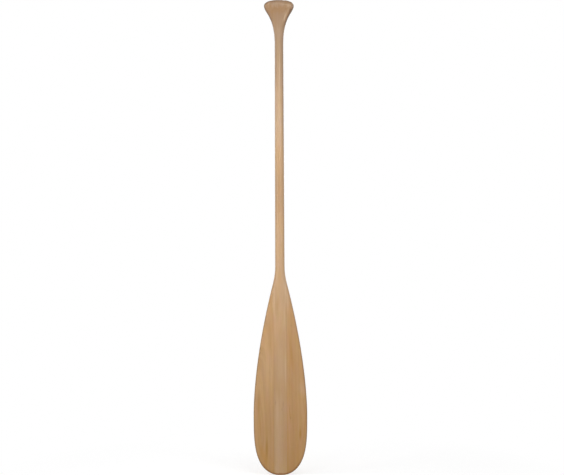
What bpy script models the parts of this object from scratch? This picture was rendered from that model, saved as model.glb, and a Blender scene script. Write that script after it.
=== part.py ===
"""Beavertail canoe paddle, carved from a blank of five glued pieces of basswood.

A centre stave runs from the tip of the blade to the crown of the grip. Two wings widen it into the blade
and two cheeks widen it into the grip. All five are cut from one carved shape: an outline seen from the
front, a height at each point of it, and an edge rounding.

Metres. +Z runs from the blade up to the grip, +X to the right, and the front face looks along -Y.
The origin is on the shaft's axis at the neck under the grip, where a rack's fork holds the paddle.
"""

import math

import bmesh
import bpy
import numpy as np

# Lengths along the paddle
PADDLE_LENGTH = 1.448       # tip of the blade to crown of the grip, 57 inches
NECK_DROP = 0.150           # crown down to the neck, where the grip's flare ends
BLADE_LENGTH = 0.610        # tip up to the throat, where the blade's shoulders meet the shaft
BLADE_WIDEST = 0.188        # tip up to the blade's widest place

# Widths, across the front
BLADE_WIDTH = 0.1634
THROAT_WIDTH = 0.0289
NECK_WIDTH = 0.0263
GRIP_WIDTH = 0.0924         # across the grip before its corners are rounded
GRIP_FLARE = 0.060          # how far each side would flare by the crown if the corners were left square
GRIP_CORNER = 0.010         # rounding of the grip's two corners
CROWN_ARCH = 0.035          # height of the crown's arch
THROAT_FILLET = 0.0074      # rounding where the shoulders meet the shaft
STAVE_ALLOWANCE = 0.00455   # how far the stave stands past the shaft on each side, as a gluing face

# Depths, front to back
THROAT_DEPTH = 0.0318
NECK_DEPTH = 0.0295
WAIST_DEPTH = 0.0250        # the hollow under the roll of the grip, for the fingers
ROLL_DEPTH = 0.0320         # the roll of the grip, in the palm
ROLL_END_DEPTH = 0.0250     # the roll at its two ends
BLADE_THICKNESS = 0.0112    # along the middle of the blade, below the spine
EDGE_THICKNESS = 0.0046

# Where the depths hold
ROLL_DROP = 0.0145          # crown down to the deepest part of the roll
WAIST_DROP = 0.040          # crown down to the waist
SPINE_START = 0.030         # how far above the throat the shaft starts to thin
SPINE_LENGTH = 0.430        # from there down to where the spine has faded out
SPINE_WIDTH = 0.050         # foot of the spine on the blade
THROAT_BLEND = 0.120        # length over which the oval section becomes the thin one
GRIP_ROUNDING = 0.0155      # edge rounding of the grip

# Curves of the outline, as powers
TIP_LENGTHWISE = 3.5        # higher is a blunter tip
TIP_ACROSS = 2.2            # higher is a squarer tip
SHOULDER_CURVE = 1.67       # higher holds the blade's width longer towards the throat
CROWN_CURVE = 5.0           # higher is a flatter crown
FLARE_CURVE = 3.0           # higher keeps the flare nearer to the crown

# Fit and mesh
GLUE_GAP = 0.0003           # between the stave and each piece glued to it
STAVE_COLUMNS = 6           # mesh columns on each half of the stave's face
WING_COLUMNS = 9
CHEEK_COLUMNS = 7
WING_CROWDING = 3.0         # higher crowds the columns towards the outline
CHEEK_CROWDING = 2.0
BLADE_ROWS = 48
SHAFT_ROWS = 22
GRIP_ROWS = 28
END_ROWS = 5
OUTLINE_POINTS = 2400

# Values that follow from the sizes above
STAVE_WIDTH = max(THROAT_WIDTH, NECK_WIDTH) + 2 * STAVE_ALLOWANCE
STAVE_HALF = (STAVE_WIDTH - GLUE_GAP) / 2
GLUE_FACE = (STAVE_WIDTH + GLUE_GAP) / 2
NECK_HEIGHT = PADDLE_LENGTH - NECK_DROP
MID_SHAFT = (BLADE_LENGTH + NECK_HEIGHT) / 2

# Basswood under clear varnish; the stave is the palest board of the blank
STAVE_COLOUR = (0.66, 0.46, 0.28)
WING_COLOUR = (0.62, 0.42, 0.24)
CHEEK_COLOUR = (0.60, 0.41, 0.24)
VARNISH_ROUGHNESS = 0.42


def blend(amount, start, end):
    return start + (end - start) * amount


def smooth_step(value):
    """0 below 0, 1 above 1, and an S-curve between."""
    value = np.clip(value, 0.0, 1.0)
    return value * value * (3.0 - 2.0 * value)


def rounded_max(first, second, rounding):
    overlap = np.maximum(rounding - np.abs(first - second), 0.0)
    return np.maximum(first, second) + overlap ** 2 / (4.0 * rounding)


def rounded_min(first, second, rounding):
    return -rounded_max(-first, -second, rounding)


def along_shaft(height, at_throat, at_neck):
    """A size that changes evenly from the throat to the neck."""
    return at_throat + (at_neck - at_throat) * (height - BLADE_LENGTH) / (NECK_HEIGHT - BLADE_LENGTH)


def shaft_half_width(height):
    return along_shaft(height, THROAT_WIDTH, NECK_WIDTH) / 2


def blade_outline(height):
    """Half width of the blade, and of the shaft above it, at a height above the tip."""
    widest = BLADE_WIDTH / 2
    below = np.clip(1.0 - height / BLADE_WIDEST, 0.0, 1.0)
    tip = widest * (1.0 - below ** TIP_LENGTHWISE) ** (1.0 / TIP_ACROSS)
    shaft = shaft_half_width(height)
    rise = np.clip((height - BLADE_WIDEST) / (BLADE_LENGTH - BLADE_WIDEST), 0.0, None)
    shoulder = shaft + (widest - shaft) * (1.0 - rise ** SHOULDER_CURVE)
    return np.where(height < BLADE_WIDEST, tip, rounded_max(shaft, shoulder, THROAT_FILLET))


def grip_outline(height):
    """Half width of the grip, and of the shaft below it."""
    drop = PADDLE_LENGTH - height
    below_crown = np.clip(1.0 - drop / CROWN_ARCH, 0.0, 1.0)
    crown = GRIP_WIDTH / 2 * np.sqrt(1.0 - below_crown ** CROWN_CURVE)
    rise = np.clip((NECK_DROP - drop) / NECK_DROP, 0.0, None)
    flare = shaft_half_width(height) + GRIP_FLARE * rise ** FLARE_CURVE
    return np.maximum(rounded_min(crown, flare, GRIP_CORNER), 0.0)


def outline(height):
    """Half width of the whole paddle at a height above the tip."""
    height = np.asarray(height, dtype=float)
    return np.where(height < MID_SHAFT, blade_outline(height), grip_outline(height))


def spaced(start, end, steps):
    """Heights from start to end, closer together towards both."""
    turn = np.linspace(0.0, math.pi, steps + 1)
    return start + (end - start) * (1.0 - np.cos(turn)) / 2


def outline_line():
    """The right-hand outline as points (x, height), from the tip to the crown."""
    half = OUTLINE_POINTS // 2
    heights = np.concatenate([spaced(0.0, MID_SHAFT, half), spaced(MID_SHAFT, PADDLE_LENGTH, half)[1:]])
    across = outline(heights)
    across[0] = 0.0
    across[-1] = 0.0
    return np.column_stack([across, heights])


OUTLINE = outline_line()


def edge_distance(across, height):
    """Shortest way from each point of a row to the outline."""
    points = np.column_stack([np.abs(across), np.full(len(across), height)])
    starts = OUTLINE[:-1]
    runs = OUTLINE[1:] - starts
    offsets = points[:, None, :] - starts[None, :, :]
    shares = np.clip((offsets * runs).sum(axis=2) / (runs * runs).sum(axis=1), 0.0, 1.0)
    nearest = starts + shares[:, :, None] * runs
    return np.sqrt(((points[:, None, :] - nearest) ** 2).sum(axis=2)).min(axis=1)


def grip_half_depth(across, height):
    """Half depth of the shaft and the grip, before the edges are rounded."""
    drop = PADDLE_LENGTH - height
    to_waist = smooth_step((NECK_DROP - drop) / (NECK_DROP - WAIST_DROP))
    to_roll = smooth_step((WAIST_DROP - drop) / (WAIST_DROP - ROLL_DROP))
    shaft = along_shaft(height, THROAT_DEPTH, NECK_DEPTH)
    depth = blend(to_roll, blend(to_waist, shaft, WAIST_DEPTH), ROLL_DEPTH)
    thinning = to_waist * (ROLL_DEPTH - ROLL_END_DEPTH) * (across / (GRIP_WIDTH / 2)) ** 2
    return (depth - thinning) / 2


def blade_half_depth(across, height):
    """Half depth of the shaft, the spine and the blade, before the edges are rounded."""
    to_blade = throat_share(height)
    spine_share = smooth_step((BLADE_LENGTH + SPINE_START - height) / SPINE_LENGTH)
    tip_share = np.clip(1.0 - height / BLADE_WIDEST, 0.0, 1.0) ** 2
    shaft = along_shaft(height, THROAT_DEPTH, NECK_DEPTH)
    middle = blend(tip_share, BLADE_THICKNESS, EDGE_THICKNESS)
    spine = blend(spine_share, shaft, middle)
    plate = blend(to_blade, shaft, middle)
    edge = blend(to_blade, shaft, EDGE_THICKNESS)
    sideways = across / np.maximum(outline(height), 1e-9)
    foot = np.clip(1.0 - (across / (SPINE_WIDTH / 2)) ** 2, 0.0, 1.0) ** 2
    return (edge + (plate - edge) * (1.0 - sideways ** 2) + (spine - plate) * foot) / 2


def throat_share(height):
    """0 in the oval shaft, 1 in the thin-edged blade."""
    return smooth_step((BLADE_LENGTH + SPINE_START - height) / THROAT_BLEND)


def edge_rounding(height):
    """How far in from the outline the edge is rounded. In the shaft it is the half width, an oval."""
    if height < MID_SHAFT:
        return blend(throat_share(height), outline(height), EDGE_THICKNESS / 2)
    drop = PADDLE_LENGTH - height
    to_waist = smooth_step((NECK_DROP - drop) / (NECK_DROP - WAIST_DROP))
    return blend(to_waist, shaft_half_width(height), GRIP_ROUNDING)


def surface(across, height):
    """Distance of the front and back faces from the middle plane, along one row of points."""
    half_depth = blade_half_depth if height < MID_SHAFT else grip_half_depth
    inward = np.clip(edge_distance(across, height) / edge_rounding(height), 0.0, 1.0)
    out = half_depth(across, height) * np.sqrt(1.0 - (1.0 - inward) ** 2)
    on_outline = np.abs(across) >= outline(height) - 1e-9
    return np.where(on_outline, 0.0, out)


def crossing(half_width, low, high):
    """The height between low and high at which the outline is half_width wide."""
    wider_below = outline(low) > half_width
    for _ in range(60):
        middle = (low + high) / 2
        if (outline(middle) > half_width) == wider_below:
            low = middle
        else:
            high = middle
    return (low + high) / 2


def widest_of_grip():
    heights = np.linspace(NECK_HEIGHT, PADDLE_LENGTH, 400)
    return heights[np.argmax(outline(heights))]


def crossings(half_width):
    """Heights at the tip, throat, neck and crown where the outline is half_width wide."""
    grip_widest = widest_of_grip()
    return (
        crossing(half_width, 0.0, BLADE_WIDEST),
        crossing(half_width, BLADE_WIDEST, MID_SHAFT),
        crossing(half_width, MID_SHAFT, grip_widest),
        crossing(half_width, grip_widest, PADDLE_LENGTH),
    )


def place(across, out, height):
    """A point in the paddle's frame, whose origin is at the neck."""
    return (float(across), float(out), float(height - NECK_HEIGHT))


def stave_ring(height):
    """Section of the stave: across the front to the right, and back across the rear."""
    half = min(float(outline(height)), STAVE_HALF)
    turns = np.linspace(-math.pi / 2, math.pi / 2, 2 * STAVE_COLUMNS + 1)
    across = half * np.sin(turns)
    out = surface(across, height)
    front = [place(x, -y, height) for x, y in zip(across, out)]
    rear = [place(x, y, height) for x, y in zip(across, out)]
    return front + rear[::-1]


def side_ring(height, side, columns, crowding):
    """Section of a piece glued to the stave: out across the front to the outline, and back across the rear."""
    width = float(outline(height)) - GLUE_FACE
    shares = np.linspace(0.0, 1.0, columns + 1)
    across = GLUE_FACE + width * (1.0 - (1.0 - shares) ** crowding)
    out = surface(across, height)
    front = [place(side * x, -y, height) for x, y in zip(across, out)]
    rear = [place(side * x, y, height) for x, y in zip(across, out)]
    ring = front + rear[-2::-1]
    return ring if side > 0 else ring[::-1]


def point_ring(across, height, count):
    return [place(across, 0.0, height)] * count


def basswood(name, colour):
    material = bpy.data.materials.new(name)
    material.use_nodes = True
    shader = material.node_tree.nodes["Principled BSDF"]
    shader.inputs["Base Color"].default_value = (*colour, 1.0)
    shader.inputs["Metallic"].default_value = 0.0
    shader.inputs["Roughness"].default_value = VARNISH_ROUGHNESS
    material.diffuse_color = (*colour, 1.0)
    return material


def carved_piece(name, rings, colour, parent):
    """A closed body skinned over rings of points, from its lower end to its upper end."""
    mesh = bmesh.new()
    loops = [[mesh.verts.new(point) for point in ring] for ring in rings]
    for lower, upper in zip(loops, loops[1:]):
        for index in range(len(lower)):
            following = (index + 1) % len(lower)
            mesh.faces.new((lower[index], lower[following], upper[following], upper[index]))
    bmesh.ops.remove_doubles(mesh, verts=mesh.verts, dist=1e-7)
    bmesh.ops.dissolve_degenerate(mesh, edges=mesh.edges, dist=1e-7)
    data = bpy.data.meshes.new(name)
    mesh.to_mesh(data)
    mesh.free()
    data.shade_smooth()
    data.set_sharp_from_angle(angle=math.radians(40.0))
    data.materials.append(basswood(name, colour))
    piece = bpy.data.objects.new(name, data)
    piece.parent = parent
    bpy.context.scene.collection.objects.link(piece)
    return piece


def centre_stave(parent):
    at_tip, at_throat, at_neck, at_crown = crossings(STAVE_HALF)
    heights = np.concatenate([
        spaced(0.0, at_tip, END_ROWS)[1:],
        spaced(at_tip, at_throat, BLADE_ROWS)[1:],
        spaced(at_throat, at_neck, SHAFT_ROWS)[1:],
        spaced(at_neck, at_crown, GRIP_ROWS)[1:],
        spaced(at_crown, PADDLE_LENGTH, END_ROWS)[1:-1],
    ])
    rings = [stave_ring(height) for height in heights]
    count = len(rings[0])
    rings = [point_ring(0.0, 0.0, count)] + rings + [point_ring(0.0, PADDLE_LENGTH, count)]
    carved_piece("centre_stave", rings, STAVE_COLOUR, parent)


def side_piece(name, side, low, high, rows, columns, crowding, colour, parent):
    rings = [side_ring(height, side, columns, crowding) for height in spaced(low, high, rows)[1:-1]]
    count = len(rings[0])
    ends = [point_ring(side * GLUE_FACE, height, count) for height in (low, high)]
    carved_piece(name, [ends[0]] + rings + [ends[1]], colour, parent)


def paddle():
    frame = bpy.data.objects.new("paddle_frame", None)
    bpy.context.scene.collection.objects.link(frame)
    at_tip, at_throat, at_neck, at_crown = crossings(GLUE_FACE)
    centre_stave(frame)
    for name, side in (("left", -1), ("right", 1)):
        side_piece(name + "_blade_wing", side, at_tip, at_throat, BLADE_ROWS, WING_COLUMNS,
                   WING_CROWDING, WING_COLOUR, frame)
        side_piece(name + "_grip_cheek", side, at_neck, at_crown, GRIP_ROWS, CHEEK_COLUMNS,
                   CHEEK_CROWDING, CHEEK_COLOUR, frame)


for old in list(bpy.data.objects):
    bpy.data.objects.remove(old)
paddle()
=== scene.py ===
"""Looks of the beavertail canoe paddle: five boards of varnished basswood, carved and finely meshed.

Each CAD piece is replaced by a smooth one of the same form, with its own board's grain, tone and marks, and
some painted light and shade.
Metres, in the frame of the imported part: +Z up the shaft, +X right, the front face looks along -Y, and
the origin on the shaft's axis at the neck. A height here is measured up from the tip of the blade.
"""

import math

import bmesh
import bpy
import numpy as np
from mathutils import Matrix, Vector, noise


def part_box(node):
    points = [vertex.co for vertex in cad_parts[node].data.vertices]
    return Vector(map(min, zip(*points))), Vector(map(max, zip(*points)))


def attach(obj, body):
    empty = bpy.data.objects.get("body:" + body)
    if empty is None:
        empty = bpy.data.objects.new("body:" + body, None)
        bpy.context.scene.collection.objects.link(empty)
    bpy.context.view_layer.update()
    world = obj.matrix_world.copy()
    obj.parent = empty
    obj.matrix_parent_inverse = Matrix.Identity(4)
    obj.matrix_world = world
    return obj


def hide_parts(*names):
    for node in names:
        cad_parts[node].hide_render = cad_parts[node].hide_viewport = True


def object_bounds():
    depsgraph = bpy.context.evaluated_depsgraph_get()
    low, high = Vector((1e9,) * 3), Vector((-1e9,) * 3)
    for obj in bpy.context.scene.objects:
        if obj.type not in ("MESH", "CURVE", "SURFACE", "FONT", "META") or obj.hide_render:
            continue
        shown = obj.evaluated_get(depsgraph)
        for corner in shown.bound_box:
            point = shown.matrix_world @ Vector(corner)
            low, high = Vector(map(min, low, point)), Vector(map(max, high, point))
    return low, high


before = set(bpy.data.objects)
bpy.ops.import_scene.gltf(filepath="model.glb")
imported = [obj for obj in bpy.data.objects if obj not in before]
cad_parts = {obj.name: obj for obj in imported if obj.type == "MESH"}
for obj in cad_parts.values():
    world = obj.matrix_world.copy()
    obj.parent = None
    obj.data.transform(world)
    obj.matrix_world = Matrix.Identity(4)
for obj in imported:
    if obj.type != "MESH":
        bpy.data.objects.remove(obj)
cad_low, cad_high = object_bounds()

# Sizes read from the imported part
PADDLE_LENGTH = cad_high.z - cad_low.z
NECK_HEIGHT = -cad_low.z
NECK_DROP = cad_high.z
BLADE_WIDTH = cad_high.x - cad_low.x
STAVE_HALF = (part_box("centre_stave")[1].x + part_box("right_blade_wing")[0].x) / 2

# Sizes of the carving, as in the part
BLADE_LENGTH = 0.610
BLADE_WIDEST = 0.188
THROAT_WIDTH = 0.0289
NECK_WIDTH = 0.0263
GRIP_WIDTH = 0.0924
GRIP_FLARE = 0.060
GRIP_CORNER = 0.010
CROWN_ARCH = 0.035
THROAT_FILLET = 0.0074
THROAT_DEPTH = 0.0318
NECK_DEPTH = 0.0295
WAIST_DEPTH = 0.0250
ROLL_DEPTH = 0.0320
ROLL_END_DEPTH = 0.0250
BLADE_THICKNESS = 0.0112
EDGE_THICKNESS = 0.0046
ROLL_DROP = 0.0145
WAIST_DROP = 0.040
SPINE_START = 0.030
SPINE_LENGTH = 0.430
SPINE_WIDTH = 0.050
THROAT_BLEND = 0.120
GRIP_ROUNDING = 0.0155
TIP_LENGTHWISE = 3.5
TIP_ACROSS = 2.2
SHOULDER_CURVE = 1.67
CROWN_CURVE = 5.0
FLARE_CURVE = 3.0
MID_SHAFT = (BLADE_LENGTH + NECK_HEIGHT) / 2

# Fineness of the mesh
STAVE_COLUMNS = 20
WING_COLUMNS = 26
CHEEK_COLUMNS = 20
WING_CROWDING = 2.6
CHEEK_CROWDING = 1.8
BLADE_ROWS = 170
SHAFT_ROWS = 90
GRIP_ROWS = 80
END_ROWS = 10
OUTLINE_POINTS = 2400
GRIP_SAMPLES = 400          # heights at which the grip's widest place is looked for
HALVINGS = 60               # steps towards a height at which the outline has a given width
TINY = 1e-9
WELD_DISTANCE = 1e-7
SHARP_ANGLE = math.radians(40.0)

# Sanding by hand
SANDING_WAVE = 0.010        # half of the most that it takes off, as a share of the half thickness
SANDING_ACROSS = 22.0       # cells of noise a metre
SANDING_ALONG = 7.0
SANDING_FACE_STEP = 3.7     # keeps the waves of the two faces apart

# Growth rings
SWAY_SCALE = (9.0, 9.0, 1.6)
SWAY_REACH = (0.016, 0.016, 0.0)    # metres by which the rings wander
TRUNK_TAPER = 0.004                 # radius gained for each metre up
YEARS_SCALE = 0.6                   # cells of noise a year
YEARS_UNEVEN = 2.2                  # years by which the rings come early or late

# Cells of noise a metre in the other patterns: right, back and up
FIGURE_SCALE = (38.0, 38.0, 2.4)
FIBRE_SCALE = (620.0, 620.0, 9.0)
PORE_SCALE = (2400.0, 2400.0, 110.0)
FLECK_SCALE = (1300.0, 1300.0, 34.0)
HUE_SCALE = (80.0, 80.0, 24.0)
RAGGED_SCALE = (260.0, 260.0, 14.0)
ZONE_REACH = (0.0, 0.0, 0.036)      # metres over which the zones' ends are ragged
MARK_REACH = (0.003, 0.0, 0.012)    # metres over which the marks are broken up

# How much of each pattern deepens the tone, and what is taken off them all
FIGURE_TONE = 0.55
FIBRE_TONE = 0.46
PORE_TONE = 0.20
FLECK_TONE = 0.22
PALER = 0.11

# Unevenness of hue: the colour is multiplied by the least, plus the spread times the noise
HUE_LEAST = (0.95, 0.935, 0.75)
HUE_SPREAD = (0.10, 0.13, 0.50)

# Fades: two values of a measure, and the results at and beyond them
LATE_WOOD_GROWS = (0.20, 0.86, 0.0, 1.0)        # share of the year
LATE_WOOD_ENDS = (0.86, 1.0, 1.0, 0.0)
PORE_SHAPE = (0.60, 0.74, 0.0, 1.0)             # the pattern's own value
FLECK_SHAPE = (0.63, 0.72, 0.0, 1.0)
RING_TONE = (0.3, 0.9, 0.24, 0.60)              # how far the surface lies across the grain
END_GRAIN_TINT = (0.35, 1.0, 0.0, 0.25)
RELIEF_STRENGTH = (0.3, 0.9, 0.35, 0.12)
SOAKED_ENDS = (0.10, 0.75, 0.08, 0.95)          # how far the edge runs across the grain
CROWN_ENDS = (0.10, 0.75, 0.10, 1.0)
SOAKED_WIDTH = (0.0030, 0.0078, 1.0, 0.0)       # metres in from the outline
CROWN_WIDTH = (0.0005, 0.0130, 1.0, 0.0)
EDGE_SHADE_WIDTH = (0.0014, 0.0042)                   # fades from the board's own painted edge shade to none
GLUE_LINE = (0.00004, 0.00022, 0.55, 0.0)       # metres from the joint's plane
ROUGHNESS = (0.3, 0.7, 0.40, 0.52)              # the fibres' value

# Edges, by place. Heights: none below the first, all between the middle two, none above the last
GRIP_HEIGHTS = (1.20, 1.34, 2.0, 2.1)
SHAFT_HEIGHTS = (0.47, 0.60, 1.35, 1.39)
SHAFT_LESS_EDGE_SHADE = 0.6       # share of the painted edge shade that the shaft is spared
RIM_UNEVEN = 0.004          # metres over which the edges' width varies

# Relief and coat
FIBRE_RELIEF = 0.5
PORE_RELIEF = 0.8
RELIEF_DEPTH = 0.0002
COAT = {
    "IOR": 1.45,
    "Specular IOR Level": 0.35,
    "Coat Weight": 0.32,
    "Coat Roughness": 0.20,
    "Coat IOR": 1.45,
}

# The photograph, and the camera that takes it again
PHOTO_WIDTH = 564
PHOTO_PADDLE_PIXELS = 475.2     # the paddle's length in the photograph
PHOTO_AXIS_OFFSET = 2.25        # pixels by which the paddle's middle lies left of the picture's
LENS = 85.0
SENSOR = 36.0
CAMERA_ROLL = math.radians(0.225)
CLIP_END = 50.0

# Light from all round. Lamps: degrees right of the front, degrees up, metres off, width, height, watts
FILL_FROM_BELOW = 0.433
FILL_FROM_ABOVE = 0.403
LIT_HEIGHT = cad_low.z + 0.80   # where on the paddle's axis the lamps face
LAMPS = (
    ("left_lamp", -24.0, 5.0, 1.15, 0.5, 0.8, 2.8),
    ("far_left_lamp", -66.0, 5.0, 1.15, 0.7, 0.8, 4.9),
    ("right_lamp", 32.0, 0.0, 1.15, 0.5, 0.8, 3.85),
    ("far_right_lamp", 78.0, 0.0, 1.15, 0.7, 0.8, 1.2),
    ("high_lamp", 0.0, 55.0, 1.15, 0.8, 0.5, 1.3),
    ("strip_lamp", 10.0, 24.0, 1.30, 0.05, 0.8, 1.6),
    ("back_lamp", 180.0, 20.0, 1.80, 0.6, 1.2, 20.0),
)

# The floor
FLOOR_HALF = 9.0
FLOOR_LIGHTNESS = 0.50      # for the light that it returns to the paddle
SHADOW_DEPTH = 0.50         # lightness of the lit part of its white, which a shadow darkens
FLOOR_GLOW = 0.52           # the rest of its white near the tip, which no shadow takes
SHADOW_FADES_FROM = 0.3     # metres from the tip
SHADOW_ENDS_AT = 0.9        # from here on the floor is plain white


def linear(red, green, blue):
    """A colour given as it looks on screen, 0 to 255, in the linear values that a shader takes."""
    shares = [channel / 255.0 for channel in (red, green, blue)]
    return tuple(s / 12.92 if s <= 0.04045 else ((s + 0.055) / 1.055) ** 2.4 for s in shares) + (1.0,)


def grey(lightness):
    return (lightness, lightness, lightness, 1.0)


# Colours and tints
WHITE = grey(1.0)
END_GRAIN = linear(150, 112, 74)
RIM = linear(160, 112, 62)
CROWN = (0.80, 0.68, 0.57, 1.0)     # multiplies the wood's own colour at the grip's crown: end grain's deeper tone, and painted shade
# painted shade along the outline
EDGE_SHADE = linear(118, 98, 76)
GLUE = linear(120, 84, 52)
STREAK = linear(168, 120, 44)
SMUDGE = linear(140, 104, 72)
HONEY = linear(184, 130, 41)
# also the tint of painted highlights
PALE = linear(228, 200, 168)
SHADE = linear(112, 84, 62)
RUSSET = linear(134, 90, 56)
BROWN = linear(146, 112, 80)
# painted shade and sheen: a darker, greyer tint
SHEEN_AND_SHADE = linear(144, 118, 96)
# greyish tint of a painted highlight
HIGHLIGHT_GREY = linear(170, 148, 136)

# Tone along the boards, darker or more amber by stretches, with painted shade and sheen where noted: four
# heights as above, strength, tint
GRIP_ZONES = (
    # painted shade and sheen: the upper shaft and grip darker and greyer, where the light falls off
    (1.06, 1.34, 1.60, 1.70, 0.48, SHEEN_AND_SHADE),
    (1.345, 1.400, 1.422, 1.433, 0.46, BROWN),
    (1.345, 1.390, 1.422, 1.433, 0.06, HONEY),
    # painted shade under the roll of the grip
    (1.396, 1.416, 1.420, 1.434, 0.38, BROWN),
    (1.396, 1.416, 1.420, 1.434, 0.16, HONEY),
)
STAVE_ZONES = (
    (-1.0, -0.9, 0.97, 1.08, 0.22, HONEY),
    (0.23, 0.26, 0.38, 0.52, 0.12, HONEY),
    (-1.0, -0.9, 0.14, 0.30, 0.04, HONEY),
    (0.74, 0.85, 0.88, 0.99, 0.24, BROWN),
    (-0.01, 0.10, 0.33, 0.47, 0.24, BROWN),
    *GRIP_ZONES,
    (1.420, 1.432, 1.60, 1.70, 0.11, BROWN),
)
WING_ZONES = (
    (-0.20, -0.10, 0.10, 0.24, 0.10, HONEY),
    (-0.20, -0.10, 0.02, 0.10, 0.12, HONEY),
)

# Marks: metres right of the axis, height, half width, half length, degrees of lean, strength, tint; some are
# painted highlights and shade
LEFT_SHOULDER_MARK = (-0.0190, 0.530, 0.0070, 0.070, 0.0, 0.30, PALE)
RIGHT_SHOULDER_MARK = (0.0195, 0.562, 0.0120, 0.080, -4.0, 0.40, PALE)
# painted shade along the right edge of the grip's flare, with painted highlights inside it
FLARE_LIGHT_AND_SHADE = (
    (0.0290, 1.396, 0.0044, 0.046, 25.0, 0.92, SHADE),
    (0.0216, 1.398, 0.0060, 0.034, 25.0, 0.28, PALE),
    (0.0178, 1.392, 0.0040, 0.014, 14.0, 0.42, PALE),
)
STAVE_MARKS = (
    (-0.0146, 0.223, 0.0018, 0.012, 0.0, 0.45, SMUDGE),
    (0.0085, 0.217, 0.0018, 0.014, 2.0, 0.50, SMUDGE),
    (0.0046, 0.202, 0.0016, 0.008, 0.0, 0.45, SMUDGE),
    (0.0076, 0.162, 0.0014, 0.120, 0.3, 0.25, SMUDGE),
    (-0.0090, 0.510, 0.0100, 0.060, 0.0, 0.22, SMUDGE),
    (0.0125, 0.488, 0.0030, 0.070, 0.5, 0.35, PALE),
    (-0.0070, 0.100, 0.0180, 0.220, 0.0, 0.14, PALE),
    (0.0150, 0.100, 0.0080, 0.190, 0.0, 0.14, HONEY),
    (-0.0020, 0.880, 0.0070, 0.170, 0.0, 0.22, HONEY),
    (-0.0020, 0.880, 0.0070, 0.170, 0.0, 0.08, BROWN),
    # painted shade down the right side of the shaft
    (0.0116, 1.130, 0.0036, 0.300, 0.0, 0.62, SHADE),
    (0.0136, 0.740, 0.0042, 0.240, 0.0, 0.34, SHADE),
    # painted highlight in a thin line down the shaft
    (0.0008, 1.190, 0.0022, 0.210, 0.0, 0.36, PALE),
    (0.0030, 1.020, 0.0020, 0.120, 0.0, 0.24, PALE),
    (0.0000, 0.340, 0.0220, 0.100, 0.0, 0.14, PALE),
    LEFT_SHOULDER_MARK,
    RIGHT_SHOULDER_MARK,
    (0.0165, 0.325, 0.0050, 0.090, 0.0, 0.24, PALE),
    (-0.0095, 0.195, 0.0070, 0.080, 0.0, 0.12, PALE),
    (0.0010, 0.004, 0.0100, 0.006, 0.0, 0.50, RUSSET),
    *FLARE_LIGHT_AND_SHADE,
)
LEFT_WING_MARKS = (
    LEFT_SHOULDER_MARK,
    (-0.0400, 0.340, 0.0300, 0.120, 0.0, 0.10, PALE),
    (-0.0416, 0.081, 0.0062, 0.048, 0.5, 0.66, STREAK),
    (-0.0655, 0.220, 0.0070, 0.058, 1.0, 0.46, STREAK),
    (-0.0630, 0.160, 0.0050, 0.060, -4.0, 0.24, STREAK),
    (-0.0560, 0.030, 0.0060, 0.026, -38.0, 0.50, STREAK),
    (-0.0515, 0.058, 0.0150, 0.056, -16.0, 0.38, HONEY),
    (-0.0350, 0.160, 0.0220, 0.140, 0.0, 0.14, RUSSET),
    (-0.0300, 0.420, 0.0060, 0.110, -3.0, 0.25, STREAK),
    (-0.0206, 0.190, 0.0056, 0.240, 0.0, 0.20, SMUDGE),
)
RIGHT_WING_MARKS = (
    RIGHT_SHOULDER_MARK,
    (0.0690, 0.262, 0.0160, 0.040, -8.0, 0.16, PALE),
    (0.0606, 0.125, 0.0050, 0.030, 0.0, 0.72, STREAK),
    (0.0600, 0.150, 0.0040, 0.050, 0.0, 0.15, STREAK),
    (0.0316, 0.174, 0.0020, 0.007, 0.0, 0.50, SMUDGE),
    (0.0337, 0.455, 0.0018, 0.006, 0.0, 0.45, SMUDGE),
    (0.0285, 0.190, 0.0030, 0.038, -7.0, 0.40, STREAK),
    (0.0290, 0.336, 0.0100, 0.220, 0.0, 0.16, STREAK),
    (0.0335, 0.376, 0.0070, 0.075, -5.0, 0.40, STREAK),
    (0.0560, 0.030, 0.0060, 0.026, 38.0, 0.30, STREAK),
    (0.0742, 0.150, 0.0036, 0.066, 3.0, 0.34, STREAK),
)
LEFT_CHEEK_MARKS = (
    # painted highlight along the crown's left shoulder
    (-0.0305, 1.4365, 0.0050, 0.0150, 62.0, 0.34, PALE),
)
RIGHT_CHEEK_MARKS = (
    # painted highlights on the crown's right corner, with painted shade below them
    (0.0320, 1.430, 0.0110, 0.010, -70.0, 0.26, PALE),
    (0.0350, 1.414, 0.0050, 0.012, 40.0, 0.60, SHADE),
    (0.0400, 1.427, 0.0090, 0.010, 0.0, 0.40, HIGHLIGHT_GREY),
    *FLARE_LIGHT_AND_SHADE,
)

# Boards: pale and deep tone, place of the pith, ring width, degrees of lean, painted shade of the edges,
# zones, marks
BOARDS = {
    "stave_wood": (
        linear(214, 181, 146), linear(184, 148, 110), (0.11, 0.07), 0.0031, 0.4, 0.06,
        STAVE_ZONES, STAVE_MARKS,
    ),
    "left_wing_wood": (
        linear(204, 163, 115), linear(175, 134, 88), (-0.05, -0.10), 0.0038, -0.7, 0.38,
        WING_ZONES, LEFT_WING_MARKS,
    ),
    "right_wing_wood": (
        linear(199, 157, 108), linear(171, 128, 82), (0.06, 0.09), 0.0035, 0.8, 0.50,
        WING_ZONES, RIGHT_WING_MARKS,
    ),
    "left_cheek_wood": (
        linear(210, 172, 130), linear(180, 141, 98), (-0.03, 0.12), 0.0033, 0.5, 0.55,
        GRIP_ZONES, LEFT_CHEEK_MARKS,
    ),
    "right_cheek_wood": (
        linear(210, 172, 130), linear(180, 141, 98), (0.04, -0.11), 0.0035, -0.6, 0.45,
        GRIP_ZONES, RIGHT_CHEEK_MARKS,
    ),
}


def blend(amount, start, end):
    """The start for an amount of 0, the end for 1."""
    return start + (end - start) * amount


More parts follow.
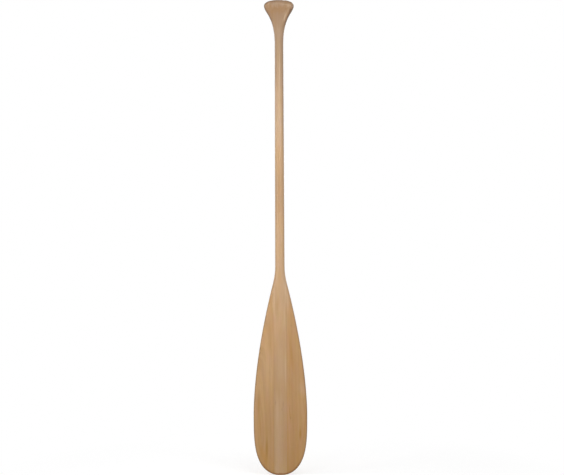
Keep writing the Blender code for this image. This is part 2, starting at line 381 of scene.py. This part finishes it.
def smooth_step(value):
    """0 up to a value of 0, 1 from 1 on, and smooth between them."""
    value = np.clip(value, 0.0, 1.0)
    return value * value * (3.0 - 2.0 * value)


def rounded_max(first, second, rounding):
    """The larger of two, with a rounding where they cross."""
    overlap = np.maximum(rounding - np.abs(first - second), 0.0)
    return np.maximum(first, second) + overlap ** 2 / (4.0 * rounding)


def along_shaft(height, at_throat, at_neck):
    """A size that changes evenly from the shaft's throat to its neck."""
    return at_throat + (at_neck - at_throat) * (height - BLADE_LENGTH) / (NECK_HEIGHT - BLADE_LENGTH)


def shaft_half_width(height):
    return along_shaft(height, THROAT_WIDTH, NECK_WIDTH) / 2


def blade_outline(height):
    widest = BLADE_WIDTH / 2
    below = np.clip(1.0 - height / BLADE_WIDEST, 0.0, 1.0)
    tip = widest * (1.0 - below ** TIP_LENGTHWISE) ** (1.0 / TIP_ACROSS)
    shaft = shaft_half_width(height)
    rise = np.clip((height - BLADE_WIDEST) / (BLADE_LENGTH - BLADE_WIDEST), 0.0, None)
    shoulder = shaft + (widest - shaft) * (1.0 - rise ** SHOULDER_CURVE)
    return np.where(height < BLADE_WIDEST, tip, rounded_max(shaft, shoulder, THROAT_FILLET))


def grip_outline(height):
    drop = PADDLE_LENGTH - height
    below_crown = np.clip(1.0 - drop / CROWN_ARCH, 0.0, 1.0)
    crown = GRIP_WIDTH / 2 * np.sqrt(1.0 - below_crown ** CROWN_CURVE)
    rise = np.clip((NECK_DROP - drop) / NECK_DROP, 0.0, None)
    flare = shaft_half_width(height) + GRIP_FLARE * rise ** FLARE_CURVE
    return np.maximum(-rounded_max(-crown, -flare, GRIP_CORNER), 0.0)


def outline(height):
    """Half width of the paddle at a height above the tip."""
    height = np.asarray(height, dtype=float)
    return np.where(height < MID_SHAFT, blade_outline(height), grip_outline(height))


def spaced(start, end, steps):
    """Heights from start to end, closer together towards both."""
    turn = np.linspace(0.0, math.pi, steps + 1)
    return start + (end - start) * (1.0 - np.cos(turn)) / 2


def outline_line():
    """The right half of the outline as a line of points, from the tip to the crown."""
    half = OUTLINE_POINTS // 2
    heights = np.concatenate([spaced(0.0, MID_SHAFT, half), spaced(MID_SHAFT, PADDLE_LENGTH, half)[1:]])
    across = outline(heights)
    across[0] = 0.0
    across[-1] = 0.0
    return np.column_stack([across, heights])


OUTLINE = outline_line()
OUTLINE_RUNS = np.diff(OUTLINE, axis=0)
ACROSS_GRAIN = np.abs(OUTLINE_RUNS[:, 0]) / np.hypot(OUTLINE_RUNS[:, 0], OUTLINE_RUNS[:, 1])


def nearest_edge(across, height):
    """Each point's shortest way to the outline, and how far the edge there runs across the grain, 0 to 1."""
    points = np.column_stack([np.abs(across), np.full(len(across), height)])
    offsets = points[:, None, :] - OUTLINE[None, :-1, :]
    shares = np.clip((offsets * OUTLINE_RUNS).sum(axis=2) / (OUTLINE_RUNS ** 2).sum(axis=1), 0.0, 1.0)
    ways = np.sqrt(((offsets - shares[:, :, None] * OUTLINE_RUNS) ** 2).sum(axis=2))
    closest = ways.argmin(axis=1)
    return ways[np.arange(len(across)), closest], ACROSS_GRAIN[closest]


def throat_share(height):
    """0 in the oval shaft, 1 in the thin-edged blade."""
    return smooth_step((BLADE_LENGTH + SPINE_START - height) / THROAT_BLEND)


def waist_share(height):
    """0 in the shaft, 1 from the grip's waist upwards."""
    drop = PADDLE_LENGTH - height
    return smooth_step((NECK_DROP - drop) / (NECK_DROP - WAIST_DROP))


def grip_half_depth(across, height):
    drop = PADDLE_LENGTH - height
    to_roll = smooth_step((WAIST_DROP - drop) / (WAIST_DROP - ROLL_DROP))
    shaft = along_shaft(height, THROAT_DEPTH, NECK_DEPTH)
    depth = blend(to_roll, blend(waist_share(height), shaft, WAIST_DEPTH), ROLL_DEPTH)
    thinning = waist_share(height) * (ROLL_DEPTH - ROLL_END_DEPTH) * (across / (GRIP_WIDTH / 2)) ** 2
    return (depth - thinning) / 2


def blade_half_depth(across, height):
    to_blade = throat_share(height)
    spine_share = smooth_step((BLADE_LENGTH + SPINE_START - height) / SPINE_LENGTH)
    tip_share = np.clip(1.0 - height / BLADE_WIDEST, 0.0, 1.0) ** 2
    shaft = along_shaft(height, THROAT_DEPTH, NECK_DEPTH)
    middle = blend(tip_share, BLADE_THICKNESS, EDGE_THICKNESS)
    spine = blend(spine_share, shaft, middle)
    plate = blend(to_blade, shaft, middle)
    edge = blend(to_blade, shaft, EDGE_THICKNESS)
    sideways = across / np.maximum(outline(height), TINY)
    foot = np.clip(1.0 - (across / (SPINE_WIDTH / 2)) ** 2, 0.0, 1.0) ** 2
    return (edge + (plate - edge) * (1.0 - sideways ** 2) + (spine - plate) * foot) / 2


def edge_rounding(height):
    if height < MID_SHAFT:
        return blend(throat_share(height), outline(height), EDGE_THICKNESS / 2)
    return blend(waist_share(height), shaft_half_width(height), GRIP_ROUNDING)


def sanding(across, height, face):
    """The slow rise and fall that sanding by hand leaves, a little different on each face."""
    step = face * SANDING_FACE_STEP
    along = height * SANDING_ALONG
    return np.array([noise.noise(Vector((x * SANDING_ACROSS, step, along))) for x in across])


def surface(across, height, face):
    """How far a face lies from the middle plane, with what nearest_edge says, for a row of points."""
    way, across_grain = nearest_edge(across, height)
    way[np.abs(across) >= outline(height) - TINY] = 0.0
    inward = np.clip(way / edge_rounding(height), 0.0, 1.0)
    half_depth = blade_half_depth if height < MID_SHAFT else grip_half_depth
    out = half_depth(across, height) * np.sqrt(1.0 - (1.0 - inward) ** 2)
    return out * (1.0 - SANDING_WAVE * (1.0 + sanding(across, height, face))), way, across_grain


def crossing(half_width, low, high):
    """The height between low and high at which the outline is half_width wide."""
    wider_below = outline(low) > half_width
    for _ in range(HALVINGS):
        middle = (low + high) / 2
        if (outline(middle) > half_width) == wider_below:
            low = middle
        else:
            high = middle
    return (low + high) / 2


def crossings(half_width):
    """Heights at the tip, throat, neck and crown where the outline is half_width wide."""
    heights = np.linspace(NECK_HEIGHT, PADDLE_LENGTH, GRIP_SAMPLES)
    grip_widest = heights[np.argmax(outline(heights))]
    return (
        crossing(half_width, 0.0, BLADE_WIDEST),
        crossing(half_width, BLADE_WIDEST, MID_SHAFT),
        crossing(half_width, MID_SHAFT, grip_widest),
        crossing(half_width, grip_widest, PADDLE_LENGTH),
    )


AT_TIP, AT_THROAT, AT_NECK, AT_CROWN = crossings(STAVE_HALF)


def ring(across, height):
    """A section's points, along the front and back over the rear, each with what nearest_edge says."""
    points = []
    for face, order in ((-1, 1), (1, -1)):
        out, way, across_grain = surface(across, height, face)
        rows = zip(across, face * out, [height - NECK_HEIGHT] * len(across), way, across_grain)
        points += list(rows)[::order]
    return points


def closed_ends(rings, across, low, high):
    """The rings with one more at each end, drawn together to a point on the middle plane."""
    count = len(rings[0])
    lower = [(across, 0.0, low - NECK_HEIGHT, *rings[0][0][3:])] * count
    upper = [(across, 0.0, high - NECK_HEIGHT, *rings[-1][0][3:])] * count
    return [lower] + rings + [upper]


def stave_rings():
    heights = np.concatenate([
        spaced(0.0, AT_TIP, END_ROWS)[1:],
        spaced(AT_TIP, AT_THROAT, BLADE_ROWS)[1:],
        spaced(AT_THROAT, AT_NECK, SHAFT_ROWS)[1:],
        spaced(AT_NECK, AT_CROWN, GRIP_ROWS)[1:],
        spaced(AT_CROWN, PADDLE_LENGTH, END_ROWS)[1:-1],
    ])
    turns = np.linspace(-math.pi / 2, math.pi / 2, 2 * STAVE_COLUMNS + 1)
    rings = [ring(min(float(outline(height)), STAVE_HALF) * np.sin(turns), height) for height in heights]
    return closed_ends(rings, 0.0, 0.0, PADDLE_LENGTH)


def side_rings(side, low, high, rows, columns, crowding):
    """Sections of a wing or a cheek, which lie between the joint's plane and the outline."""
    shares = 1.0 - (1.0 - np.linspace(0.0, 1.0, columns + 1)) ** crowding
    rings = []
    for height in spaced(low, high, rows)[1:-1]:
        across = STAVE_HALF + (float(outline(height)) - STAVE_HALF) * shares
        rings.append(ring(side * across, height)[::side])
    return closed_ends(rings, side * STAVE_HALF, low, high)


def skin(name, rings, material, node):
    """A closed, smooth piece over the rings, standing for a CAD node."""
    mesh = bmesh.new()
    rim = mesh.verts.layers.float.new("rim")
    across_grain = mesh.verts.layers.float.new("across_grain")
    loops = []
    for points in rings:
        loop = []
        for x, y, z, way, share in points:
            vertex = mesh.verts.new((x, y, z))
            vertex[rim] = way
            vertex[across_grain] = share
            loop.append(vertex)
        loops.append(loop)
    for lower, upper in zip(loops, loops[1:]):
        for index in range(len(lower)):
            following = (index + 1) % len(lower)
            mesh.faces.new((lower[index], lower[following], upper[following], upper[index]))
    bmesh.ops.remove_doubles(mesh, verts=mesh.verts, dist=WELD_DISTANCE)
    bmesh.ops.dissolve_degenerate(mesh, edges=mesh.edges, dist=WELD_DISTANCE)
    data = bpy.data.meshes.new(name)
    mesh.to_mesh(data)
    mesh.free()
    data.shade_smooth()
    data.set_sharp_from_angle(angle=SHARP_ANGLE)
    data.materials.append(material)
    piece = bpy.data.objects.new(name, data)
    bpy.context.scene.collection.objects.link(piece)
    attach(piece, "root")
    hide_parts(node)
    return piece


def join(tree, value, socket):
    """Gives a socket its value: a number, a colour or another node's output."""
    if isinstance(value, bpy.types.NodeSocket):
        tree.links.new(value, socket)
    else:
        socket.default_value = value


def add_node(tree, kind, inputs, **settings):
    made = tree.nodes.new("ShaderNode" + kind)
    for name, value in settings.items():
        setattr(made, name, value)
    for key, value in inputs.items():
        join(tree, value, made.inputs[key])
    return made


class Wood:
    """A board's shader, with the patterns that several parts of it use.

    place is the point in the part's frame, and board the same point turned by the grain's lean.
    end_on is 1 where the surface lies square across the grain, and 0 where it runs along it.
    """

    def __init__(self, name, lean):
        self.material = bpy.data.materials.new(name)
        self.material.use_nodes = True
        self.tree = self.material.node_tree
        self.shader = self.tree.nodes["Principled BSDF"]
        self.place = self.node("TexCoord", {}).outputs["Object"]
        rotation = (0.0, math.radians(lean), 0.0)
        self.board = self.node("Mapping", {"Vector": self.place, "Rotation": rotation}).outputs["Vector"]
        self.figure = self.noise(self.board, FIGURE_SCALE, detail=3.0)["Fac"]
        self.fibres = self.noise(self.board, FIBRE_SCALE, detail=4.0, roughness=0.65)["Fac"]
        self.pores = self.fade(self.noise(self.board, PORE_SCALE, detail=1.0)["Fac"], *PORE_SHAPE)
        normal = self.node("TexCoord", {}).outputs["Normal"]
        self.end_on = self.math("ABSOLUTE", self.parts(normal)["Z"])

    def node(self, kind, inputs, **settings):
        return add_node(self.tree, kind, inputs, **settings)

    def math(self, operation, *values):
        return self.node("Math", dict(enumerate(values)), operation=operation).outputs[0]

    def vector(self, operation, *values):
        made = self.node("VectorMath", dict(enumerate(values)), operation=operation)
        return made.outputs["Value" if operation == "LENGTH" else "Vector"]

    def parts(self, place):
        """The X, Y and Z of a place or direction."""
        return self.node("SeparateXYZ", {"Vector": place}).outputs

    def noise(self, place, scales, detail=2.0, roughness=0.5):
        stretched = self.vector("MULTIPLY", place, scales)
        inputs = {"Vector": stretched, "Scale": 1.0, "Detail": detail, "Roughness": roughness}
        return self.node("TexNoise", inputs).outputs

    def shift(self, scales):
        """Noise along the board in three directions, each about -0.5 to 0.5."""
        return self.vector("SUBTRACT", self.noise(self.board, scales)["Color"], (0.5, 0.5, 0.5))

    def moved(self, place, shift, reach):
        """The place moved by a shift, times the metres that it reaches in each direction."""
        return self.vector("ADD", place, self.vector("MULTIPLY", shift, reach))

    def fade(self, value, low, high, at_low, at_high):
        """at_low up to low, at_high from high on, and smooth between them."""
        inputs = {"Value": value, "From Min": low, "From Max": high, "To Min": at_low, "To Max": at_high}
        return self.node("MapRange", inputs, interpolation_type="SMOOTHSTEP").outputs["Result"]

    def mix(self, share, first, second):
        made = self.node("Mix", {0: share, 6: first, 7: second}, data_type="RGBA")
        return made.outputs[2]

    def spot(self, place, across, height, half_width, half_length, lean):
        """1 in the middle of a long mark, fading to 0 at its edge. It leans right by some degrees."""
        off = self.vector("SUBTRACT", place, (across, 0.0, height - NECK_HEIGHT))
        turn = {"Vector": off, "Angle": -math.radians(lean)}
        upright = self.node("VectorRotate", turn, rotation_type="Y_AXIS").outputs["Vector"]
        scaled = self.vector("MULTIPLY", upright, (1.0 / half_width, 0.0, 1.0 / half_length))
        return self.fade(self.vector("LENGTH", scaled), 0.0, 1.0, 1.0, 0.0)

    def zone(self, place, heights):
        """1 between the middle two of four heights and 0 beyond the outer two, all round the board."""
        low_edge, low_full, high_full, high_edge = (height - NECK_HEIGHT for height in heights)
        height = self.parts(place)["Z"]
        rise = self.fade(height, low_edge, low_full, 0.0, 1.0)
        fall = self.fade(height, high_full, high_edge, 1.0, 0.0)
        return self.math("MULTIPLY", rise, fall)


def growth_rings(wood, pith, ring_width):
    """The late wood of each year, 0 to 1, in rings round the pith."""
    swayed = wood.moved(wood.board, wood.shift(SWAY_SCALE), SWAY_REACH)
    axes = wood.parts(wood.vector("SUBTRACT", swayed, (*pith, 0.0)))
    flat = wood.node("CombineXYZ", {"X": axes["X"], "Y": axes["Y"]}).outputs["Vector"]
    radius = wood.math("ADD", wood.vector("LENGTH", flat), wood.math("MULTIPLY", axes["Z"], TRUNK_TAPER))
    years = wood.math("DIVIDE", radius, ring_width)
    along_years = {"W": wood.math("MULTIPLY", years, YEARS_SCALE), "Detail": 1.0}
    uneven = wood.node("TexNoise", along_years, noise_dimensions="1D").outputs["Fac"]
    year = wood.math("FRACT", wood.math("ADD", years, wood.math("MULTIPLY", uneven, YEARS_UNEVEN)))
    return wood.math("MULTIPLY", wood.fade(year, *LATE_WOOD_GROWS), wood.fade(year, *LATE_WOOD_ENDS))


def plain_wood(wood, late, pale, deep):
    """The wood's own colour, between its pale and its deep tone."""
    flecks = wood.fade(wood.noise(wood.board, FLECK_SCALE, detail=1.0)["Fac"], *FLECK_SHAPE)
    depth = wood.math("MULTIPLY", late, wood.fade(wood.end_on, *RING_TONE))
    depth = wood.math("MULTIPLY_ADD", wood.figure, FIGURE_TONE, depth)
    depth = wood.math("MULTIPLY_ADD", wood.fibres, FIBRE_TONE, depth)
    depth = wood.math("MULTIPLY_ADD", wood.pores, PORE_TONE, depth)
    depth = wood.math("MULTIPLY_ADD", flecks, FLECK_TONE, depth)
    colour = wood.mix(wood.math("SUBTRACT", depth, PALER), pale, deep)
    hues = wood.noise(wood.board, HUE_SCALE, detail=3.0)["Color"]
    return wood.vector("MULTIPLY", colour, wood.vector("MULTIPLY_ADD", hues, HUE_SPREAD, HUE_LEAST))


def marked(wood, colour, zones, marks):
    """The colour with the board's paler and darker stretches, its marks and its streaks, painted highlights
    and shade among them.
    """
    shift = wood.shift(RAGGED_SCALE)
    ragged = wood.moved(wood.place, shift, ZONE_REACH)
    broken = wood.moved(wood.place, shift, MARK_REACH)
    for *heights, strength, tint in zones:
        share = wood.math("MULTIPLY", wood.zone(ragged, heights), strength)
        colour = wood.mix(share, colour, tint)
    for *form, strength, tint in marks:
        share = wood.math("MULTIPLY", wood.spot(broken, *form), strength)
        colour = wood.mix(share, colour, tint)
    return colour


def with_edges(wood, colour, edge_shade):
    """The colour with end grain, edges that took more varnish, the grip's crown darker as end grain and as
    painted shade, painted shade along the outline, and glue lines.
    """
    colour = wood.mix(wood.fade(wood.end_on, *END_GRAIN_TINT), colour, END_GRAIN)
    rim = wood.node("Attribute", {}, attribute_name="rim").outputs["Fac"]
    rim = wood.math("MULTIPLY_ADD", wood.math("SUBTRACT", wood.figure, 0.5), RIM_UNEVEN, rim)
    across_grain = wood.node("Attribute", {}, attribute_name="across_grain").outputs["Fac"]
    at_grip = wood.zone(wood.place, GRIP_HEIGHTS)
    off_grip = wood.math("SUBTRACT", 1.0, at_grip)
    soaked = wood.math("MULTIPLY", wood.fade(across_grain, *SOAKED_ENDS), off_grip)
    soaked = wood.math("MULTIPLY", wood.fade(rim, *SOAKED_WIDTH), soaked)
    colour = wood.mix(soaked, colour, RIM)
    # the grip's crown darker, as end grain that took more varnish and as painted shade
    crown = wood.math("MULTIPLY", wood.fade(across_grain, *CROWN_ENDS), at_grip)
    crown = wood.math("MULTIPLY", wood.fade(rim, *CROWN_WIDTH), crown)
    colour = wood.vector("MULTIPLY", colour, wood.mix(crown, WHITE, CROWN))
    # painted shade in a narrow band along the outline, less of it on the shaft
    less_edge_shade = wood.math("MULTIPLY_ADD", wood.zone(wood.place, SHAFT_HEIGHTS), -SHAFT_LESS_EDGE_SHADE, 1.0)
    shaded_edge = wood.math("MULTIPLY", wood.fade(rim, *EDGE_SHADE_WIDTH, edge_shade, 0.0), less_edge_shade)
    colour = wood.mix(shaded_edge, colour, EDGE_SHADE)
    sideways = wood.math("ABSOLUTE", wood.parts(wood.place)["X"])
    from_joint = wood.math("ABSOLUTE", wood.math("SUBTRACT", sideways, STAVE_HALF))
    return wood.mix(wood.fade(from_joint, *GLUE_LINE), colour, GLUE)


def varnish(wood, colour):
    """Finishes the board's shader with its colour, the grain's fine relief and a thin satin coat."""
    join(wood.tree, colour, wood.shader.inputs["Base Color"])
    sunk = wood.math("MULTIPLY", wood.pores, -PORE_RELIEF)
    relief = {
        "Strength": wood.fade(wood.end_on, *RELIEF_STRENGTH),
        "Distance": RELIEF_DEPTH,
        "Height": wood.math("MULTIPLY_ADD", wood.fibres, FIBRE_RELIEF, sunk),
    }
    join(wood.tree, wood.node("Bump", relief).outputs["Normal"], wood.shader.inputs["Normal"])
    join(wood.tree, wood.fade(wood.fibres, *ROUGHNESS), wood.shader.inputs["Roughness"])
    for name, value in COAT.items():
        wood.shader.inputs[name].default_value = value


def basswood(name, pale, deep, pith, ring_width, lean, edge_shade, zones, marks):
    """One board of varnished wood, with growth rings round its own pith."""
    wood = Wood(name, lean)
    colour = plain_wood(wood, growth_rings(wood, pith, ring_width), pale, deep)
    colour = marked(wood, colour, zones, marks)
    varnish(wood, with_edges(wood, colour, edge_shade))
    return wood.material


def dress():
    """Stands a varnished piece for each CAD node."""
    woods = {name: basswood(name, *board) for name, board in BOARDS.items()}
    piece = skin("varnished_centre_stave", stave_rings(), woods["stave_wood"], "centre_stave")
    for name, side in (("left", -1), ("right", 1)):
        rings = side_rings(side, AT_TIP, AT_THROAT, BLADE_ROWS, WING_COLUMNS, WING_CROWDING)
        wood = woods[f"{name}_wing_wood"]
        piece = skin(f"varnished_{name}_blade_wing", rings, wood, f"{name}_blade_wing")
        rings = side_rings(side, AT_NECK, AT_CROWN, GRIP_ROWS, CHEEK_COLUMNS, CHEEK_CROWDING)
        wood = woods[f"{name}_cheek_wood"]
        piece = skin(f"varnished_{name}_grip_cheek", rings, wood, f"{name}_grip_cheek")


def seen_directly(tree):
    """1 for rays that should meet a white background: the camera's, and those through gloss or glass."""
    rays = add_node(tree, "LightPath", {}).outputs
    total = rays["Is Camera Ray"]
    for name in ("Is Glossy Ray", "Is Transmission Ray"):
        total = add_node(tree, "Math", {0: total, 1: rays[name]}, operation="ADD", use_clamp=True).outputs[0]
    return total


def white_world():
    """Light from all round, behind a background that looks white."""
    world = bpy.data.worlds.new("studio")
    bpy.context.scene.world = world
    world.use_nodes = True
    tree = world.node_tree
    way = add_node(tree, "TexCoord", {}).outputs["Generated"]
    upward = add_node(tree, "SeparateXYZ", {"Vector": way}).outputs["Z"]
    levels = {"Value": upward, "From Min": -1.0, "To Min": FILL_FROM_BELOW, "To Max": FILL_FROM_ABOVE}
    fill = tree.nodes["Background"]
    fill.inputs["Color"].default_value = WHITE
    tree.links.new(add_node(tree, "MapRange", levels).outputs["Result"], fill.inputs["Strength"])
    white = add_node(tree, "Background", {"Color": WHITE, "Strength": 1.0})
    shaders = {"Fac": seen_directly(tree), 1: fill.outputs[0], 2: white.outputs[0]}
    either = add_node(tree, "MixShader", shaders)
    tree.links.new(either.outputs[0], tree.nodes["World Output"].inputs["Surface"])


def floor_surface(tree):
    """White where it is seen, but for the paddle's shadow near the tip. Grey for the light it returns."""
    returned = add_node(tree, "BsdfDiffuse", {"Color": grey(FLOOR_LIGHTNESS)})
    lit = add_node(tree, "BsdfDiffuse", {"Color": grey(SHADOW_DEPTH)})
    glow = add_node(tree, "Emission", {"Strength": FLOOR_GLOW})
    near = add_node(tree, "AddShader", {0: lit.outputs[0], 1: glow.outputs[0]})
    place = add_node(tree, "TexCoord", {}).outputs["Object"]
    away = add_node(tree, "VectorMath", {0: place, 1: (0.0, 0.0, cad_low.z)}, operation="DISTANCE")
    limits = {"Value": away.outputs["Value"], "From Min": SHADOW_FADES_FROM, "From Max": SHADOW_ENDS_AT}
    share = add_node(tree, "MapRange", limits).outputs["Result"]
    far = add_node(tree, "Emission", {})
    white = add_node(tree, "MixShader", {"Fac": share, 1: near.outputs[0], 2: far.outputs[0]})
    shaders = {"Fac": seen_directly(tree), 1: returned.outputs[0], 2: white.outputs[0]}
    return add_node(tree, "MixShader", shaders).outputs[0]


def pale_floor():
    """A wide plain floor at the tip."""
    data = bpy.data.meshes.new("floor")
    corners = [(x * FLOOR_HALF, y * FLOOR_HALF, cad_low.z) for x, y in ((-1, -1), (1, -1), (1, 1), (-1, 1))]
    data.from_pydata(corners, [], [(0, 1, 2, 3)])
    floor = bpy.data.objects.new("floor", data)
    bpy.context.scene.collection.objects.link(floor)
    material = bpy.data.materials.new("floor")
    material.use_nodes = True
    tree = material.node_tree
    tree.nodes.remove(tree.nodes["Principled BSDF"])
    tree.links.new(floor_surface(tree), tree.nodes["Material Output"].inputs["Surface"])
    data.materials.append(material)


def softbox(name, round_from_front, above, distance, width, height, power):
    """A soft lamp that the camera doesn't see, placed round the point at LIT_HEIGHT and facing it."""
    turn, rise = math.radians(round_from_front), math.radians(above)
    way = Vector((math.sin(turn) * math.cos(rise), -math.cos(turn) * math.cos(rise), math.sin(rise)))
    data = bpy.data.lights.new(name, "AREA")
    data.shape = "RECTANGLE"
    data.size = width
    data.size_y = height
    data.energy = power
    lamp = bpy.data.objects.new(name, data)
    lamp.location = Vector((0.0, 0.0, LIT_HEIGHT)) + way * distance
    lamp.rotation_euler = way.to_track_quat("Z", "Y").to_euler()
    lamp.visible_camera = False
    bpy.context.scene.collection.objects.link(lamp)


def camera():
    """Takes the photograph again: square from the front, with the paddle as long in pixels."""
    pixel = PADDLE_LENGTH / PHOTO_PADDLE_PIXELS
    distance = PHOTO_WIDTH * pixel * LENS / SENSOR
    data = bpy.data.cameras.new("camera")
    data.lens = LENS
    data.sensor_width = SENSOR
    data.clip_end = CLIP_END
    viewer = bpy.data.objects.new("camera", data)
    viewer.location = (PHOTO_AXIS_OFFSET * pixel, -distance, (cad_low.z + cad_high.z) / 2)
    viewer.rotation_euler = (math.pi / 2, CAMERA_ROLL, 0.0)
    bpy.context.scene.collection.objects.link(viewer)
    bpy.context.scene.camera = viewer


dress()
white_world()
pale_floor()
for lamp in LAMPS:
    softbox(*lamp)
camera()
bpy.context.scene.view_settings.view_transform = "Standard"
